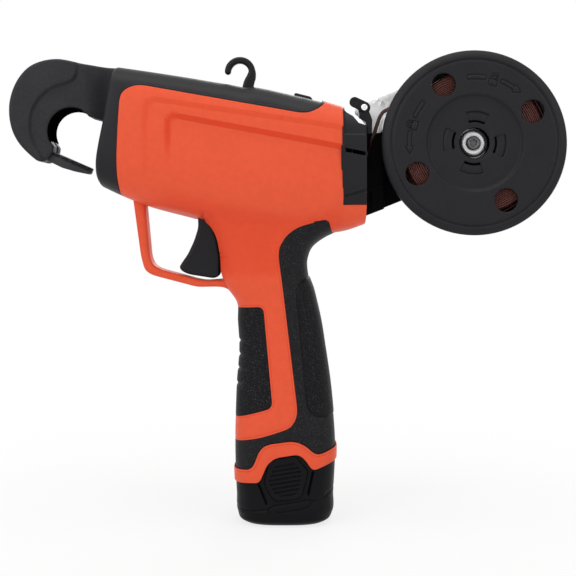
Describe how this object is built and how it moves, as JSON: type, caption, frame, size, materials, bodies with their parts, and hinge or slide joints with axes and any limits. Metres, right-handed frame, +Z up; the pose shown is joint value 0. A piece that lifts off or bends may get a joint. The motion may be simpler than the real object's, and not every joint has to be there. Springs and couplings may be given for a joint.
{
  "type": "electric vine tying tool",
  "caption": "Battery-driven pistol-grip tool with a hooked jaw that passes flat tie wire from a rear spool round a cane and twists it.",
  "frame": {"origin": "middle of the battery's base, on the surface the tool stands on", "axes": "+Z up along the handle, -X towards the hooked jaw, -Y out of the spool cover's face"},
  "size_m": [0.344, 0.06, 0.2918],
  "materials": {
    "orange_plastic": "moulded orange-red nylon with a satin spark-eroded face",
    "black_cover_plastic": "moulded near-black plastic, satin",
    "grip_rubber": "soft overmoulded rubber, matt, finely textured",
    "hook_plastic": "glass-filled nylon, dark grey, satin",
    "battery_plastic": "moulded black plastic, satin",
    "switch_plastic": "moulded black plastic",
    "bright_steel": "bright plated steel",
    "dark_steel": "blackened steel",
    "brass": "drawn brass",
    "tie_wire": "flat tie wire with a red-brown coating",
    "circuit_board": "green resist",
    "battery_cell_wrap": "shrink-wrapped cell",
    "white_nylon": "natural white nylon"
  },
  "bodies": {
    "housing": {"left_shell": "orange_plastic", "right_shell": "orange_plastic", "head_cover": "black_cover_plastic", "rear_collar": "black_cover_plastic", "front_grip": "grip_rubber", "rear_grip": "grip_rubber", "hook_left_cheek": "hook_plastic", "hook_right_cheek": "hook_plastic", "hanging_hook": "hook_plastic", "carrier_arm": "battery_plastic", "trigger_switch": "switch_plastic", "power_switch": "switch_plastic", "terminal_block": "switch_plastic", "hook_wire_channel": "bright_steel", "gate_pin": "bright_steel", "front_bearing": "bright_steel", "rear_bearing": "bright_steel", "cutter_pin": "bright_steel", "trigger_pin": "bright_steel", "trigger_spring": "bright_steel", "side_plate": "bright_steel", "spool_axle": "bright_steel", "lever_screw": "bright_steel", "twist_motor_can": "dark_steel", "feed_motor": "dark_steel", "gate_spring": "dark_steel", "shell_screw_1": "dark_steel", "shell_screw_2": "dark_steel", "shell_screw_3": "dark_steel", "shell_screw_4": "dark_steel", "axle_screw": "dark_steel", "wire_tube": "brass", "feed_wire": "tie_wire", "circuit_board": "circuit_board", "axle_washer": "white_nylon"},
    "trigger_lever": {"trigger": "black_cover_plastic"},
    "power_key": {"power_button": "black_cover_plastic"},
    "gate": {"jaw_gate": "hook_plastic"},
    "twister": {"twist_spindle": "dark_steel", "twist_head": "bright_steel"},
    "pinion": {"motor_pinion": "brass"},
    "drive_roller": {"feed_roller": "dark_steel"},
    "idler_roller": {"pressure_roller": "bright_steel"},
    "cutter": {"cutter_blade": "bright_steel"},
    "wire_lever": {"tension_lever": "black_cover_plastic"},
    "reel": {"backing_flange": "bright_steel", "bobbin_core": "white_nylon", "wire_winding": "tie_wire", "wire_outer_turns": "tie_wire"},
    "reel_cover": {"spool_cover": "black_cover_plastic"},
    "battery": {"battery_case": "battery_plastic", "battery_cell_1": "battery_cell_wrap", "battery_cell_2": "battery_cell_wrap", "battery_cell_3": "battery_cell_wrap"},
    "left_latch": {"latch_tab_left": "battery_plastic"},
    "right_latch": {"latch_tab_right": "battery_plastic"}
  },
  "joints": [
    {"name": "trigger_pull", "type": "hinge", "parent": "housing", "child": "trigger_lever", "pos_m": [-0.0485, 0, 0.1863], "axis": [0, -1, 0], "range_deg": [0, 13], "stiffness_Nm_per_rad": 0.3, "springref_deg": -5.73, "deforming": ["trigger_spring"]},
    {"name": "power_button_press", "type": "slide", "parent": "housing", "child": "power_key", "axis": [0, 0, -1], "range_m": [0, 0.0014], "stiffness_N_per_m": 900, "springref_m": -0.0008},
    {"name": "jaw_gate_swing", "type": "hinge", "parent": "housing", "child": "gate", "pos_m": [-0.1505, 0, 0.228], "axis": [0, -1, 0], "range_deg": [0, 55], "stiffness_Nm_per_rad": 0.02, "springref_deg": -17.19},
    {"name": "twist_spin", "type": "hinge", "parent": "housing", "child": "twister", "pos_m": [-0.112, 0, 0.2328], "axis": [0.9848, 0, -0.1736], "continuous": true},
    {"name": "motor_spin", "type": "hinge", "parent": "housing", "child": "pinion", "pos_m": [-0.10783, 0, 0.25644], "axis": [0.9848, 0, -0.1736], "continuous": true},
    {"name": "feed_spin", "type": "hinge", "parent": "housing", "child": "drive_roller", "pos_m": [0.026, -0.008, 0.20855], "axis": [0, 1, 0], "continuous": true},
    {"name": "pressure_spin", "type": "hinge", "parent": "housing", "child": "idler_roller", "pos_m": [0.026, -0.008, 0.22345], "axis": [0, 1, 0], "continuous": true},
    {"name": "cutter_swing", "type": "hinge", "parent": "housing", "child": "cutter", "pos_m": [-0.092, 0, 0.252], "axis": [0, 1, 0], "range_deg": [0, 10], "stiffness_Nm_per_rad": 0.02, "springref_deg": -5.73},
    {"name": "tension_lever_swing", "type": "hinge", "parent": "housing", "child": "wire_lever", "pos_m": [0.047, -0.013, 0.257], "axis": [0, -1, 0], "range_deg": [0, 15], "stiffness_Nm_per_rad": 0.02, "springref_deg": -5.73},
    {"name": "spool_spin", "type": "hinge", "parent": "housing", "child": "reel", "pos_m": [0.1144, 0, 0.235], "axis": [0, 1, 0], "continuous": true},
    {"name": "spool_cover_twist", "type": "hinge", "parent": "reel", "child": "reel_cover", "pos_m": [0.1144, 0, 0.235], "axis": [0, 1, 0], "range_deg": [0, 30]},
    {"name": "battery_slide", "type": "slide", "parent": "housing", "child": "battery", "axis": [0, 0, -1], "range_m": [0, 0.085]},
    {"name": "latch_left_press", "type": "hinge", "parent": "battery", "child": "left_latch", "pos_m": [-0.001, -0.0236, 0.017], "axis": [-1, 0, 0], "range_deg": [0, 4], "stiffness_Nm_per_rad": 0.1, "springref_deg": -5.73},
    {"name": "latch_right_press", "type": "hinge", "parent": "battery", "child": "right_latch", "pos_m": [-0.001, 0.0236, 0.017], "axis": [1, 0, 0], "range_deg": [0, 4], "stiffness_Nm_per_rad": 0.1, "springref_deg": -5.73}
  ],
  "couplings": [
    {"joint": "motor_spin", "follows": "twist_spin", "ratio": -3},
    {"joint": "pressure_spin", "follows": "feed_spin", "ratio": -1.3333}
  ]
}
